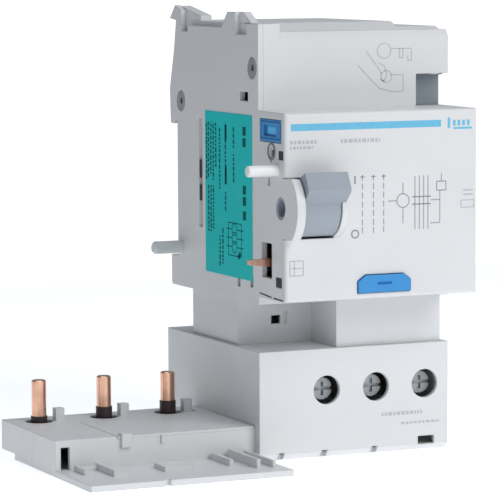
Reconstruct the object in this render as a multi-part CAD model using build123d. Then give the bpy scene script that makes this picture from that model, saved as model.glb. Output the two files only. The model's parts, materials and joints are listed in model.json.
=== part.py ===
from build123d import *
import os

# Add-on residual current block for a three-pole miniature circuit breaker.
# Frame: origin at the centre of the rail seat, on the rail's front face.
# +X right, +Y back into the rail, +Z up. The lower unit is drawn down, ready for fitting.

# ---------------------------------------------------------------- driving sizes
module_width = 17.5
poles = 3
wall = 1.4                 # upper housing walls
fit = 0.3                  # clearance between pieces that slide past each other
seat_fit = 0.05            # clearance of a piece held still in its seat
running_fit = 0.06         # radial clearance of a shaft in its bore

body_width = module_width * poles
left_x = -body_width / 2
right_x = body_width / 2
inner_left = left_x + wall
inner_right = right_x - wall

# rail seat
rail_half_height = 17.7
rail_lip_drop = 1.0
rail_lip_gap = 1.6
hook_depth = 4.4
seat_half_height = 16.5    # flat that bears on the rail, between the two lips
seat_relief = 0.2          # the housing steps back this far behind the rail's flanges

# upper housing, side view
front_y = -50.6
floor_z = -25.5
roof_z = 43.5
roof_edge_z = roof_z - 2.0
ceiling_z = roof_z - 3.7
cavity_back_y = -1.6
grip_top = roof_z + 2.7
grip_front = -37.0
grip_back = -32.3
grip_heel = -28.4
hook_mouth = -43.8         # the hook under the front grip opens between here and the grip
hook_drop = 2.8
ramp_top = -39.0
roof_dip = roof_z - 1.2
roof_step_width = 11.0     # the right end of the roof is lower
roof_step = 1.3
column_width = 4.6         # solid column at the left of the front
column_depth = 8.0
roof_grip_width = 2.0
rear_grip_width = 3.0
# small moulding apertures in the left cover, as (y, z)
cover_windows = (
    ((-44.6, -39.8), (24.4, 26.7)),
    ((-39.5, -37.8), (-22.0, -19.3)),
    ((-47.2, -45.5), (-21.5, -18.9)),
    ((-57.4, -56.0), (4.4, 6.3)),
)
# shallow pockets beside them
cover_pockets = (
    ((-16.2, -14.0), (-9.0, 18.8)),
    ((-64.0, -60.6), (-20.1, -17.6)),
    ((-64.3, -62.6), (11.1, 13.2)),
    ((-58.4, -57.6), (10.2, 13.8)),
)
cover_pocket_depth = 0.8
label_thickness = 0.15
label_area = ((-47.0, -18.3), (-20.0, 21.0))

# nose
nose_y = -65.9
nose_top = 22.4
nose_bottom = -23.5
nose_wall = 1.2

# corner notch in the upper front
notch_left = right_x - 9.05
notch_top = 30.5
notch_depth = 5.0

# toggle
toggle_y = -63.5
toggle_z = -0.7
hub_radius = 7.2
guard_radius = 9.6
cheek_radius = hub_radius + fit
guard_inner = left_x + 2.25
cheek_left = left_x + 13.05
cheek_thickness = 1.8
journal_radius = 2.7
journal_bore = 2.1
window_half = hub_radius + fit
guard_half = window_half - 0.15
grip_overhang = 1.2        # the grip reaches this far over the right-hand cheek
# grip, side view, as (y, z) from the toggle's axis
grip_points = (
    (-8.3, 9.0),
    (-10.5, 5.1),
    (-10.3, 4.3),
    (-7.1, 1.1),
    (-3.0, 1.7),
    (-4.0, 6.7),
)
hub_hollow_wall = 1.6
hub_hollow_half = 5.2

# neck between the housing and the terminal unit
neck_x = inner_right - 0.1
neck_back = -6.0
neck_front = front_y + wall + 0.1
neck_wall = 1.0
neck_bottom = -38.2
neck_collar = 1.2          # the sleeve stands this far above the housing floor
neck_ears = (-14.0, 14.0)
neck_ear_half = 3.0
neck_ear_depth = 2.5
latch_hole = ((-15.6, -13.0), (-32.5, -30.4))
guide_groove = ((-12.2, -11.2), (-32.6, -29.5))
groove_depth = 0.5
recess_back = -34.6
recess_right = left_x + 21.85

# terminal unit
block_wall = 1.2
block_floor = 1.4
bottom_chamfer = 1.6
rib_half = 0.5             # ribs that part the three terminals
rib_back = -33.0
rib_top = -52.0
slit_places = (-20.2, -8.4, 5.6)
slit_half = 0.85
slit_depth = 2.2
slit_top = -62.9
block_top = -37.4
block_bottom = -64.8
block_back = 7.3
seam_y = -32.0
block_travel = 11.7

# plug pins
pin_pitch = module_width
pin_first_x = left_x - 10.5
pin_y = -17.0
pin_radius = 1.83
pin_root_radius = 1.5
pin_chamfer = 0.3
pin_top = -45.5
pin_aperture = 3.5
collar_wall = 0.25
collar_rim = 0.5           # the collar's foot stays this far below the tray's top
collar_tops = (-52.9, -53.3, -54.6)
post_offset = 5.2
post_size = 2.3
post_height = 3.1
post_slit = 0.9

# tray under the breaker
tray_margin = 7.45         # from the farthest pin's axis to the tray's end
tray_left = pin_first_x - (poles - 1) * pin_pitch - tray_margin
tray_front = -48.0
tray_back = -9.9
tray_top = -56.0
tray_step_y = -19.4
tray_step = 1.4
tray_wall = 1.2
tray_window = (1.4, 3.7)   # in from the tray's left end
tray_window_z = (-63.3, -57.8)
latch_window = ((right_x - 8.45, right_x - 3.85), (-63.3, -61.2))
lid_left = left_x - 36.75
lid_back = -23.0
lid_thickness = 0.7
lid_gap = 0.2
lid_hook = (lid_left + 0.8, lid_left + 3.4)
lid_rib = (left_x - 25.35, left_x - 24.55)
lid_lip = 0.6
ledge_front = -71.5
ledge_thickness = 1.5
# low stops on the ledge, as (x in from the body's left face, y, height)
ledge_stops = (
    ((48.15, 48.95), (-57.0, -50.0), 1.3),
    ((43.35, 48.15), (-51.6, -50.4), 1.0),
    ((42.55, 43.35), (-62.0, -50.0), 1.6),
    ((38.15, 42.55), (-60.0, -58.8), 1.0),
    ((22.25, 29.75), (-61.0, -54.0), 1.2),
    ((11.35, 12.35), (-60.0, -49.0), 1.6),
    ((6.75, 7.75), (-66.0, -49.0), 2.2),
    ((2.75, 3.55), (-66.0, -49.0), 1.6),
)
ledge_notch = (32.55, 33.95)

# screw terminals
terminal_pitch = 13.71
terminal_first_x = left_x + 18.49
terminal_z = -47.8
access_radius = 3.63
screw_radius = 1.9
screw_head_radius = 2.8
screw_head_front = -47.6
screw_head_thickness = 1.7
screw_slot = 0.8
screw_slot_depth = 0.9
screw_cross_half = 1.7
cage_half_width = 2.95
cage_wall = 0.75
cage_bottom = -53.0
cage_top = -42.6
cage_travel = 2.9
cage_stop_gap = 0.4        # between the screw head and a fully tightened cage
cage_front_plate = 1.2
cage_back_plate = 0.8
cage_front = screw_head_front + screw_head_thickness + cage_stop_gap + cage_travel
cage_back = recess_back - fit
clamp_gap = 0.1            # around the fixed bar inside the cage
clamp_bar_front = cage_front + cage_front_plate + clamp_gap
bar_thickness = 1.0
wire_front = clamp_bar_front + bar_thickness
wire_back = cage_back - cage_back_plate
cable_entry_y = (wire_front + wire_back) / 2
cable_entry_radius = (wire_back - wire_front) / 2 - clamp_gap

# current paths
bar_width = 5.0
bar_y = -16.0
bar_gap = 0.5
bar_end = 2.6              # the bar runs this far past the pin's axis
bar_passage = 3.5
bar_riser_top = -47.0
lead_radius = 1.3
lead_bend = 4.5
lead_spacing = 3.6
lead_crown = -7.0
strap_offset = 4.5           # sideways from the terminal's middle
strap_width = 2.2
strap_y = -29.0
strap_top = -46.0
strap_drop = 2.6           # the bar's foot passes this far below the cage
strap_foot = 2.0

# sensing transformer
core_x = 1.45
core_y = -30.0
core_outer = 11.0
core_inner = 6.5
core_bottom = -21.0
core_height = 9.0
winding_skin = 0.9
winding_left = 2.0
holder_half = neck_x - neck_wall - 0.75
holder_front = -33.4
holder_back = -8.0
holder_plate = 1.2
holder_cheek = 1.4
holder_cheek_height = 6.0
lead_window = (-16.0, 19.0)
lead_window_front = -18.2

# trip relay
relay_left = 4.0
relay_right = 20.0
relay_front = -42.0
relay_back = -28.0
relay_y = -35.0
relay_z = 10.0
relay_half = 8.0
relay_wall = 1.0
coil_left = 8.0
coil_right = 16.0
coil_radius = 5.5
bobbin_radius = 5.9
bobbin_bore = 2.2
bobbin_flange = 1.0
plunger_left = -1.0
plunger_radius = 2.0
plunger_stem_radius = 1.5
plunger_step = 8.5
plunger_right = 16.8
magnet_gap = 0.2           # behind the coil bobbin
magnet_thickness = 1.5
magnet_half = 3.0
magnet_half_height = 4.0

# reset link between the toggle and the relay
link_left = -9.6
link_right = -3.4
link_front = -55.0
link_back = -33.0
link_cross_front = -44.0
link_cross_back = -42.0
link_bottom = 8.0
link_top = 12.0
link_bar = 1.0
guide_gap = 0.4
guide_wall = 1.2
guide_front = -47.2
guide_back = -38.0
guide_post_bottom = 2.0
guide_post = 1.6

# circuit board and its parts
board_left = -20.0
board_right = -4.0
board_front = -12.0
board_back = -10.6
board_top = 30.0
capacitor_radius = 4.0
capacitor_length = 8.0
capacitor_z = 20.0
resistor_left = -16.0
resistor_right = -7.0
resistor_y = -15.0
resistor_z = 8.0
resistor_radius = 1.6
resistor_lead = 0.35
resistor_lead_reach = 1.6

# locating pins on the coupling face
peg_y = -2.2
peg_z = -15.2
peg_radius = 1.65
peg_root_radius = 1.4
peg_reach = 8.1
peg_chamfer = 0.5
locator_y = -61.9
locator_z = 8.4
locator_radius = 1.38
locator_root_radius = 1.1
locator_reach = 8.2
locator_chamfer = 0.3

# trip lever
slot_front = -58.3
slot_back = -52.5
slot_top = -9.7
slot_bottom = -18.3
trip_pivot_y = -61.4
trip_pivot_z = -14.6
trip_pin_radius = 1.5
trip_finger_y = -55.4
trip_reach = 5.0
trip_plate_x = left_x + 2.85
trip_plate = 1.2
trip_arm_half = 2.0
trip_finger = 1.4
bracket_sheet = 1.0
bracket_half = 2.4
bracket_foot = 6.0
bracket_foot_back = 9.0

# test button
button_left = -6.7
button_right = 7.6
button_bottom = -22.0
button_top = -17.7
button_shoulder = -19.2
button_corner = 2.1
button_proud = 0.6
button_gap = 0.15
button_travel = 1.5
button_depth = 3.0
button_wall = 1.2
button_flange = 1.2
stem_radius = 0.9
stem_reach = 4.0
stem_x = 0.45
stem_z = -20.2
leaf_thickness = 0.4
leaf_bottom = -21.8
leaf_top = -18.0
leaf_right = 5.0
leaf_left = -12.0
leaf_heel = 5.0
contact_left = -1.2
contact_right = 2.1
contact_top = -14.0
contact_sheet = 0.8
contact_tail = 6.0

# lock tab
tab_front = nose_y + wall + 0.5
tab_back = -51.5
tab_bottom = 15.0
tab_top = 20.7
tab_travel = 3.0
tab_gap = 0.15
tab_inset = 2.0
tab_stop = 1.2
tab_stop_gap = 0.2
finger_pocket = ((-61.0, -53.8), (16.5, 19.2))
finger_pocket_depth = 0.7

# rail clip
clip_half = 5.7
clip_wing = 1.5
clip_front = 1.5
clip_wing_back = 2.6
clip_back = 4.2
clip_top_gap = 0.2
clip_wing_top = -19.5
clip_slot_half = 2.5
clip_slot = (-24.6, -23.2)

# rivets that close the case, as (y, z)
rivet_places = ((-47.0, 32.7), (-2.4, 22.8), (-44.2, -16.8), (-21.0, 12.0))
rivet_radius = 1.4
rivet_head_radius = 2.7
rivet_head = 0.7
rivet_boss = 2.0
rivet_boss_wall = 1.2
rivet_swage_depth = 2.0    # the rivets' left ends are hollow this deep
rivet_swage_radius = 0.84


# ---------------------------------------------------------------- helpers
def block(x, y, z):
    size = (x[1] - x[0], y[1] - y[0], z[1] - z[0])
    centre = ((x[0] + x[1]) / 2, (y[0] + y[1]) / 2, (z[0] + z[1]) / 2)
    return Pos(*centre) * Box(*size)


def rod_x(radius, x0, x1, y, z):
    return Pos((x0 + x1) / 2, y, z) * Rot(0, 90, 0) * Cylinder(radius, x1 - x0)


def rod_y(radius, y0, y1, x, z):
    return Pos(x, (y0 + y1) / 2, z) * Rot(90, 0, 0) * Cylinder(radius, y1 - y0)


def rod_z(radius, z0, z1, x, y):
    return Pos(x, y, (z0 + z1) / 2) * Cylinder(radius, z1 - z0)


def side_plate(points, x0, x1):
    """A prism along X from an outline of (y, z) points."""
    face = Plane.YZ.offset(x0) * make_face(Polyline(*points, close=True))
    return extrude(face, amount=x1 - x0)


def front_plate(points, y0, y1):
    """A prism along Y from an outline of (x, z) points."""
    face = Plane.XZ.offset(-y1) * make_face(Polyline(*points, close=True))
    return extrude(face, amount=y1 - y0)


def floor_plate(points, z0, z1, shrink=0.0):
    """A prism along Z from an outline of (x, y) points, pulled in by shrink."""
    face = make_face(Polyline(*points, close=True))
    if shrink:
        face = offset(face, amount=-shrink, kind=Kind.INTERSECTION)
    return Pos(0, 0, z0) * extrude(face, amount=z1 - z0)


def terminal_places():
    return [terminal_first_x + i * terminal_pitch for i in range(poles)]


def pin_places():
    return [pin_first_x - i * pin_pitch for i in range(poles)]


# ---------------------------------------------------------------- upper housing
def rail_outline():
    """The back edge of every housing side, from the upper hook to the lower lug."""
    lip = rail_half_height - rail_lip_drop
    return [
        (0.5, roof_z),
        (2.0, 35.8),
        (4.9, 25.8),
        (hook_depth, lip),
        (rail_lip_gap, lip),
        (rail_lip_gap, rail_half_height),
        (-seat_relief, rail_half_height),
        (-seat_relief, seat_half_height),
        (0.0, seat_half_height),
        (0.0, -seat_half_height),
        (-seat_relief, -seat_half_height),
        (-seat_relief, -rail_half_height),
        (hook_depth, -rail_half_height),
        (hook_depth, floor_z + 0.6),
        (hook_depth - 0.6, floor_z),
    ]


def rivet_cuts():
    cuts = []
    for y, z in rivet_places:
        cuts.append(rod_x(rivet_radius + seat_fit, left_x, right_x, y, z))
        for x0, x1 in ((left_x, left_x + rivet_head), (right_x - rivet_head, right_x)):
            cuts.append(rod_x(rivet_head_radius + seat_fit, x0, x1, y, z))
    return cuts


def neck_outline(grow=0.0):
    x = neck_x + grow
    back = neck_back + grow
    front = neck_front - grow
    return [
        (-x, back),
        (x, back),
        (x, front),
        (recess_right - grow, front),
        (recess_right - grow, recess_back - grow),
        (-x, recess_back - grow),
    ]


def clip_channel():
    wings = block(
        (-clip_half - clip_wing - fit, clip_half + clip_wing + fit),
        (clip_front - fit, clip_wing_back + fit),
        (floor_z, -rail_half_height),
    )
    body = block(
        (-clip_half - fit, clip_half + fit),
        (clip_front - fit, hook_depth),
        (floor_z, -rail_half_height),
    )
    return wings + body


def main_shell():
    outline = [
        (front_y, floor_z),
        (front_y, roof_edge_z - 1.7),
        (front_y + 1.2, roof_edge_z),
        (front_y + 5.0, roof_edge_z),
        (front_y + 10.0, roof_z),
    ] + rail_outline()
    shell = side_plate(outline, inner_left, right_x)
    shell -= block(
        (inner_left, inner_right), (front_y + wall, cavity_back_y), (floor_z + wall, ceiling_z)
    )
    shell -= block(
        (inner_left, inner_right),
        (front_y, front_y + wall),
        (nose_bottom + nose_wall, nose_top - nose_wall),
    )
    shell -= block(
        (right_x - roof_step_width, right_x), (front_y, 1.0), (roof_z - roof_step, roof_z)
    )
    shell += block(
        (inner_left, inner_left + column_width),
        (front_y, front_y + column_depth),
        (ceiling_z, roof_z),
    )
    # pocket behind the corner notch
    notch_back = front_y + notch_depth
    shell += block(
        (notch_left - wall, right_x),
        (front_y, notch_back + wall),
        (nose_top - nose_wall, notch_top + wall),
    )
    shell -= block((notch_left, right_x), (front_y, notch_back), (nose_top, notch_top))
    shell -= floor_plate(neck_outline(seat_fit), floor_z, floor_z + wall)
    shell -= clip_channel()
    for y, z in rivet_places:
        shell += rod_x(rivet_radius + rivet_boss_wall, inner_right - rivet_boss, inner_right, y, z)
    for cut in rivet_cuts():
        shell -= cut
    return shell


def roof_grips():
    """Two raised grips that the side cover carries over the left of the roof."""
    rear = side_plate(
        [
            (-12.5, roof_z),
            (-12.5, roof_z + 1.4),
            (1.1, roof_z + 3.7),
            (3.2, roof_z + 1.3),
            (-0.4, roof_z),
        ],
        inner_left,
        inner_left + rear_grip_width,
    )
    front = side_plate(
        [(ramp_top, roof_z), (ramp_top, grip_top), (grip_back, grip_top), (grip_back, roof_z)],
        inner_left,
        inner_left + roof_grip_width,
    )
    ramp = side_plate(
        [(hook_mouth, roof_z + 0.1), (ramp_top, grip_top), (ramp_top, roof_z + 0.1)],
        inner_left,
        inner_left + roof_grip_width,
    )
    return rear + front + ramp


def toggle_guard():
    """Round-fronted cheek on the left of the toggle, cut flat above and below."""
    x = (left_x, guard_inner)
    front = rod_x(guard_radius, *x, toggle_y, toggle_z)
    return front & block(
        x,
        (toggle_y - guard_radius, toggle_y + hub_radius),
        (toggle_z - guard_half, toggle_z + guard_half),
    )


def left_cover():
    outline = [
        (nose_y + wall, nose_bottom),
        (nose_y + wall, nose_top),
        (front_y, nose_top),
        (front_y, roof_z),
        (hook_mouth, roof_z),
        (hook_mouth, roof_z - hook_drop),
        (grip_front, roof_z - hook_drop),
        (grip_front, grip_top),
        (grip_back, grip_top),
        (grip_heel, roof_dip),
        (-7.0, roof_dip),
        (-7.0, roof_z - 2.7),
        (-3.0, roof_z - 2.7),
        (-3.0, roof_z + 2.5),
        (1.1, roof_z + 3.9),
        (4.5, roof_z + 0.5),
    ] + rail_outline() + [(front_y, floor_z), (front_y, nose_bottom)]
    cover = side_plate(outline, left_x, inner_left) + roof_grips()
    cover += toggle_guard()
    cover -= rod_x(journal_radius + running_fit, left_x, guard_inner, toggle_y, toggle_z)
    cover -= rod_x(locator_root_radius + seat_fit, left_x, guard_inner, locator_y, locator_z)
    cover -= rod_x(peg_root_radius + seat_fit, left_x, inner_left, peg_y, peg_z)
    cover -= block((left_x, inner_left), (slot_front, slot_back), (slot_bottom, slot_top))
    cover -= block((left_x, inner_left), (tab_front, tab_back), (tab_bottom, tab_top))
    for y, z in cover_windows:
        cover -= block((left_x, inner_left), y, z)
    for y, z in cover_pockets:
        cover -= block((left_x, left_x + cover_pocket_depth), y, z)
    for cut in rivet_cuts():
        cover -= cut
    return cover


def front_cover():
    x = (left_x, right_x)
    cover = block(x, (nose_y, front_y), (nose_bottom, nose_top))
    cover = fillet(cover.edges().group_by(Axis.Y)[0], 0.8)
    cover -= block(
        (left_x, inner_right),
        (nose_y + wall, front_y),
        (nose_bottom + nose_wall, nose_top - nose_wall),
    )
    cover -= block((left_x, inner_left), (nose_y + wall, front_y), (nose_bottom, nose_top))
    # window and right-hand cheek for the toggle
    cover -= block(
        (left_x, cheek_left),
        (nose_y, nose_y + wall),
        (toggle_z - window_half, toggle_z + window_half),
    )
    cheek_right = cheek_left + cheek_thickness
    cover += rod_x(cheek_radius, cheek_left, cheek_right, toggle_y, toggle_z)
    cover += block(
        (cheek_left, cheek_right),
        (nose_y + wall, toggle_y + 6.0),
        (toggle_z - window_half, toggle_z + window_half),
    )
    cover -= rod_x(journal_radius + running_fit, cheek_left, cheek_right, toggle_y, toggle_z)
    cover -= button_opening()
    return cover


def button_outline(grow=0.0):
    left = button_left - grow
    right = button_right + grow
    bottom = button_bottom - grow
    top = button_top + grow
    shoulder = button_shoulder + grow
    return [
        (left, bottom),
        (right, bottom),
        (right, shoulder),
        (right - button_corner, top),
        (left + button_corner, top),
        (left, shoulder),
    ]


def button_opening():
    return front_plate(button_outline(button_gap), nose_y, nose_y + wall)


def neck_sleeve():
    ear_bottom = floor_z + wall
    top = ear_bottom + neck_collar
    outer = floor_plate(neck_outline(), neck_bottom, top)
    sleeve = outer - floor_plate(neck_outline(), neck_bottom, top, neck_wall)
    # ears that rest on the housing floor
    for x in neck_ears:
        ear = (x - neck_ear_half, x + neck_ear_half)
        sleeve += block(ear, (neck_back, neck_back + neck_ear_depth), (ear_bottom, top))
    front_ear = (neck_ears[0] - neck_ear_half, neck_ears[0] + neck_ear_half)
    sleeve += block(front_ear, (recess_back - neck_ear_depth, recess_back), (ear_bottom, top))
    # latch aperture and guide groove in the recess wall
    sleeve -= block(latch_hole[0], (recess_back, recess_back + neck_wall), latch_hole[1])
    return sleeve - block(guide_groove[0], (recess_back, recess_back + groove_depth), guide_groove[1])


def rating_label():
    return block((left_x - label_thickness, left_x), *label_area)


def fixing_peg():
    peg = rod_x(peg_radius, left_x - peg_reach, left_x, peg_y, peg_z)
    peg = chamfer(peg.edges().group_by(Axis.X)[0], peg_chamfer)
    return peg + rod_x(peg_root_radius, left_x, inner_left, peg_y, peg_z)


def locating_pin():
    pin = rod_x(locator_radius, left_x - locator_reach, left_x, locator_y, locator_z)
    pin = chamfer(pin.edges().group_by(Axis.X)[0], locator_chamfer)
    return pin + rod_x(locator_root_radius, left_x, guard_inner, locator_y, locator_z)


def case_rivets():
    rivets = []
    for y, z in rivet_places:
        rivet = rod_x(rivet_radius, left_x + rivet_head, right_x - rivet_head, y, z)
        rivet += rod_x(rivet_head_radius, left_x + 0.1, left_x + rivet_head, y, z)
        rivet += rod_x(rivet_head_radius, right_x - rivet_head, right_x - 0.1, y, z)
        rivet -= rod_x(rivet_swage_radius, left_x, left_x + rivet_swage_depth, y, z)
        rivets.append(rivet)
    return Compound(children=rivets)


# ---------------------------------------------------------------- toggle and trip
def toggle():
    left = guard_inner + fit
    right = cheek_left - fit
    hub = rod_x(hub_radius, left, right, toggle_y, toggle_z)
    outline = [(toggle_y + y, toggle_z + z) for y, z in grip_points]
    grip = side_plate(outline, left, right + grip_overhang)
    grip -= rod_x(cheek_radius + fit, right, right + grip_overhang, toggle_y, toggle_z)
    lever = hub + grip
    # the hub is hollow behind
    lever -= block(
        (left + hub_hollow_wall, right - hub_hollow_wall),
        (toggle_y, toggle_y + hub_radius),
        (toggle_z - hub_hollow_half, toggle_z + hub_hollow_half),
    )
    lever += rod_x(journal_radius, left_x + 0.2, left, toggle_y, toggle_z)
    lever += rod_x(journal_radius, right, cheek_left + cheek_thickness - 0.2, toggle_y, toggle_z)
    lever -= rod_x(journal_bore, left_x, left + 1.0, toggle_y, toggle_z)
    return lever


def trip_lever():
    """Copper-coloured finger that reaches into the breaker and trips it."""
    x0 = trip_plate_x
    x1 = trip_plate_x + trip_plate
    arm = side_plate(
        [
            (trip_pivot_y - bracket_half, trip_pivot_z - trip_arm_half),
            (trip_pivot_y - bracket_half, trip_pivot_z + trip_arm_half),
            (trip_finger_y + 1.6, trip_pivot_z + 1.3),
            (trip_finger_y + 1.6, trip_pivot_z - 1.4),
        ],
        x0,
        x1,
    )
    tip = left_x - trip_reach
    finger = front_plate(
        [
            (x1, trip_pivot_z - 1.4),
            (x1, trip_pivot_z + 1.2),
            (tip, trip_pivot_z + 0.9),
            (tip, trip_pivot_z - 0.3),
        ],
        trip_finger_y - trip_finger / 2,
        trip_finger_y + trip_finger / 2,
    )
    bore = rod_x(trip_pin_radius + running_fit, x0, x1, trip_pivot_y, trip_pivot_z)
    return arm + finger - bore


def pivot_bracket():
    """Steel bracket on the nose floor; its pin carries the trip lever."""
    left = trip_plate_x + trip_plate + fit
    right = left + bracket_sheet
    front = trip_pivot_y - bracket_half
    nose_floor = nose_bottom + nose_wall
    plate = block(
        (left, right),
        (front, trip_pivot_y + bracket_half),
        (nose_floor, trip_pivot_z + bracket_half),
    )
    foot = block(
        (left, left + bracket_foot),
        (front, trip_pivot_y + bracket_foot_back),
        (nose_floor, nose_floor + bracket_sheet),
    )
    pin = rod_x(trip_pin_radius, trip_plate_x - fit, right, trip_pivot_y, trip_pivot_z)
    return plate + foot + pin


# ---------------------------------------------------------------- controls
def test_button():
    back = nose_y + wall + button_depth
    cap = front_plate(button_outline(), nose_y - button_proud, back)
    flange_front = nose_y + wall + seat_fit
    flange = block(
        (button_left - button_flange, button_right + button_flange),
        (flange_front, flange_front + button_flange),
        (button_bottom, button_top + button_flange),
    )
    hollow = block(
        (button_left + button_wall, button_right - button_wall),
        (flange_front, back),
        (button_bottom + button_wall, button_shoulder),
    )
    stem = rod_y(stem_radius, flange_front - seat_fit, nose_y + wall + stem_reach, stem_x, stem_z)
    return cap + flange - hollow + stem


def test_spring():
    """Leaf that returns the button and carries the moving test contact."""
    y = nose_y + wall + stem_reach
    leaf = block((leaf_left, leaf_right), (y, y + leaf_thickness), (leaf_bottom, leaf_top))
    heel = block(
        (leaf_left, leaf_left + leaf_thickness), (y, y + leaf_heel), (leaf_bottom, leaf_top)
    )
    return leaf + heel


def test_contact():
    y = nose_y + wall + stem_reach + button_travel + 2 * leaf_thickness
    x = (contact_left, contact_right)
    post = block(x, (y, y + contact_sheet), (leaf_bottom, contact_top))
    return post + block(x, (y, y + contact_tail), (contact_top - contact_sheet, contact_top))


def lock_tab():
    tab = block(
        (left_x, left_x + tab_travel + wall + tab_inset),
        (tab_front + tab_gap, tab_back - tab_gap),
        (tab_bottom + tab_gap, tab_top - tab_gap),
    )
    tab -= block((left_x, left_x + finger_pocket_depth), *finger_pocket)
    stop_x = inner_left + tab_travel + tab_stop_gap
    stop = block(
        (stop_x, stop_x + tab_stop),
        (tab_front - fit, tab_back + fit),
        (tab_bottom - fit, nose_top - nose_wall - tab_stop_gap),
    )
    return tab + stop


def rail_clip():
    bottom = floor_z + clip_top_gap
    top = -rail_half_height - clip_top_gap
    tip = -rail_half_height + rail_lip_drop
    x = (-clip_half, clip_half)
    body = block(x, (clip_front, clip_back), (bottom, top))
    hook = side_plate(
        [
            (rail_lip_gap, top - clip_top_gap),
            (rail_lip_gap, tip),
            (rail_lip_gap + 1.0, tip),
            (clip_back, top - clip_top_gap),
        ],
        *x,
    )
    wings = block(
        (-clip_half - clip_wing, clip_half + clip_wing),
        (clip_front, clip_wing_back),
        (bottom, clip_wing_top),
    )
    slot = block((-clip_slot_half, clip_slot_half), (clip_front, clip_back), clip_slot)
    return body + hook + wings - slot


# ---------------------------------------------------------------- sensing and relay
def toroid_core():
    ring = rod_z(core_outer, core_bottom, core_bottom + core_height, core_x, core_y)
    return ring - rod_z(core_inner, core_bottom, core_bottom + core_height, core_x, core_y)


def wound_ring(outer, inner, low, high):
    return rod_z(outer, low, high, core_x, core_y) - rod_z(inner, low, high, core_x, core_y)


def sense_winding():
    """Wound sector wrapped around the core on its right-hand side."""
    low = core_bottom - winding_skin
    high = core_bottom + core_height + winding_skin
    ring = wound_ring(core_outer + winding_skin, core_inner - winding_skin, low, high)
    ring -= wound_ring(
        core_outer + seat_fit,
        core_inner - seat_fit,
        core_bottom - seat_fit,
        core_bottom + core_height + seat_fit,
    )
    reach = core_outer + 2 * winding_skin
    sector = block(
        (core_x + winding_left, core_x + reach), (core_y - reach, core_y + reach), (low, high)
    )
    return ring & sector


def core_holder():
    """Moulded cup that carries the core above the neck."""
    top = core_bottom - winding_skin - seat_fit
    bottom = top - holder_plate
    y = (holder_front, holder_back)
    plate = block((-holder_half, holder_half), y, (bottom, top))
    plate -= rod_z(core_inner, bottom, top, core_x, core_y)
    plate -= block(lead_window, (lead_window_front, holder_back), (bottom, top))
    for x in (-holder_half, holder_half - holder_cheek):
        plate += block((x, x + holder_cheek), y, (top, top + holder_cheek_height))
    return plate


def relay_case():
    z = (relay_z - relay_half, relay_z + relay_half)
    case = block((relay_left, relay_right), (relay_front, relay_back), z)
    case -= block(
        (relay_left + relay_wall, relay_right - relay_wall),
        (relay_front + relay_wall, relay_back),
        (z[0] + relay_wall, z[1] - relay_wall),
    )
    return case - rod_x(
        plunger_stem_radius + running_fit, relay_left, relay_left + relay_wall, relay_y, relay_z
    )


def relay_lid():
    return block(
        (relay_left, relay_right),
        (relay_back, relay_back + relay_wall),
        (relay_z - relay_half, relay_z + relay_half),
    )


def relay_coil():
    coil = rod_x(coil_radius, coil_left, coil_right, relay_y, relay_z)
    for x in (coil_left - bobbin_flange, coil_right):
        coil += rod_x(bobbin_radius, x, x + bobbin_flange, relay_y, relay_z)
    left = coil_left - bobbin_flange
    return coil - rod_x(bobbin_bore, left, coil_right + bobbin_flange, relay_y, relay_z)


def relay_magnet():
    x = coil_right + bobbin_flange + magnet_gap
    return block(
        (x, x + magnet_thickness),
        (relay_y - magnet_half, relay_y + magnet_half),
        (relay_z - magnet_half_height, relay_z + magnet_half_height),
    )


def relay_plunger():
    core = rod_x(plunger_radius, plunger_step, plunger_right, relay_y, relay_z)
    return core + rod_x(plunger_stem_radius, plunger_left, plunger_step, relay_y, relay_z)


def trip_link():
    """Reset link from the toggle to the relay plunger."""
    z = (link_bottom, link_top)
    bar = block((link_left, link_right), (link_cross_front, link_cross_back), z)
    bar += block((link_right - link_bar, link_right), (link_cross_front, link_back), z)
    return bar + block((link_left, link_left + link_bar), (link_front, link_cross_back), z)


def link_guide():
    """Channel around the link's crosspiece; the post stands on the front wall."""
    left = link_left - 2 * guide_gap
    right = link_right + 2 * guide_gap
    low = link_bottom - guide_gap
    high = link_top + guide_gap
    y = (guide_front, guide_back)
    guide = block((left, right), y, (low - guide_wall, low))
    guide += block((left, right), y, (high, high + guide_wall))
    guide += block((right, right + guide_wall), y, (low - guide_wall, high + guide_wall))
    return guide + block((left, right), (guide_front, guide_front + guide_post), (guide_post_bottom, low))


def circuit_board():
    return block((board_left, board_right), (board_front, board_back), (0.0, board_top))


def capacitor():
    middle = (board_left + board_right) / 2
    return rod_y(capacitor_radius, board_front - capacitor_length, board_front, middle, capacitor_z)


def test_resistor():
    """Axial resistor standing off the board on two bent leads."""
    left = resistor_left - resistor_lead_reach
    right = resistor_right + resistor_lead_reach
    body = rod_x(resistor_radius, resistor_left, resistor_right, resistor_y, resistor_z)
    body += rod_x(resistor_lead, left, right, resistor_y, resistor_z)
    for x in (left, right):
        body += block(
            (x - resistor_lead, x + resistor_lead),
            (resistor_y - resistor_lead, board_front),
            (resistor_z - resistor_lead, resistor_z + resistor_lead),
        )
    return body


# ---------------------------------------------------------------- terminal unit
def block_cavity(y0, y1):
    return block(
        (left_x + block_wall, right_x - block_wall),
        (y0, y1),
        (block_bottom + block_floor, block_top - block_wall),
    )


def neck_opening(y0, y1):
    """The part of the deck opening for the neck that lies between two planes."""
    deck = (block_top - block_wall, block_top)
    shaft = floor_plate(neck_outline(fit), *deck)
    return shaft & block((left_x, right_x), (y0, y1), deck)


def tray_cavity(y0, y1, floor):
    return block((tray_left + block_wall, left_x), (y0, y1), (floor, tray_top - tray_wall))


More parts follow.
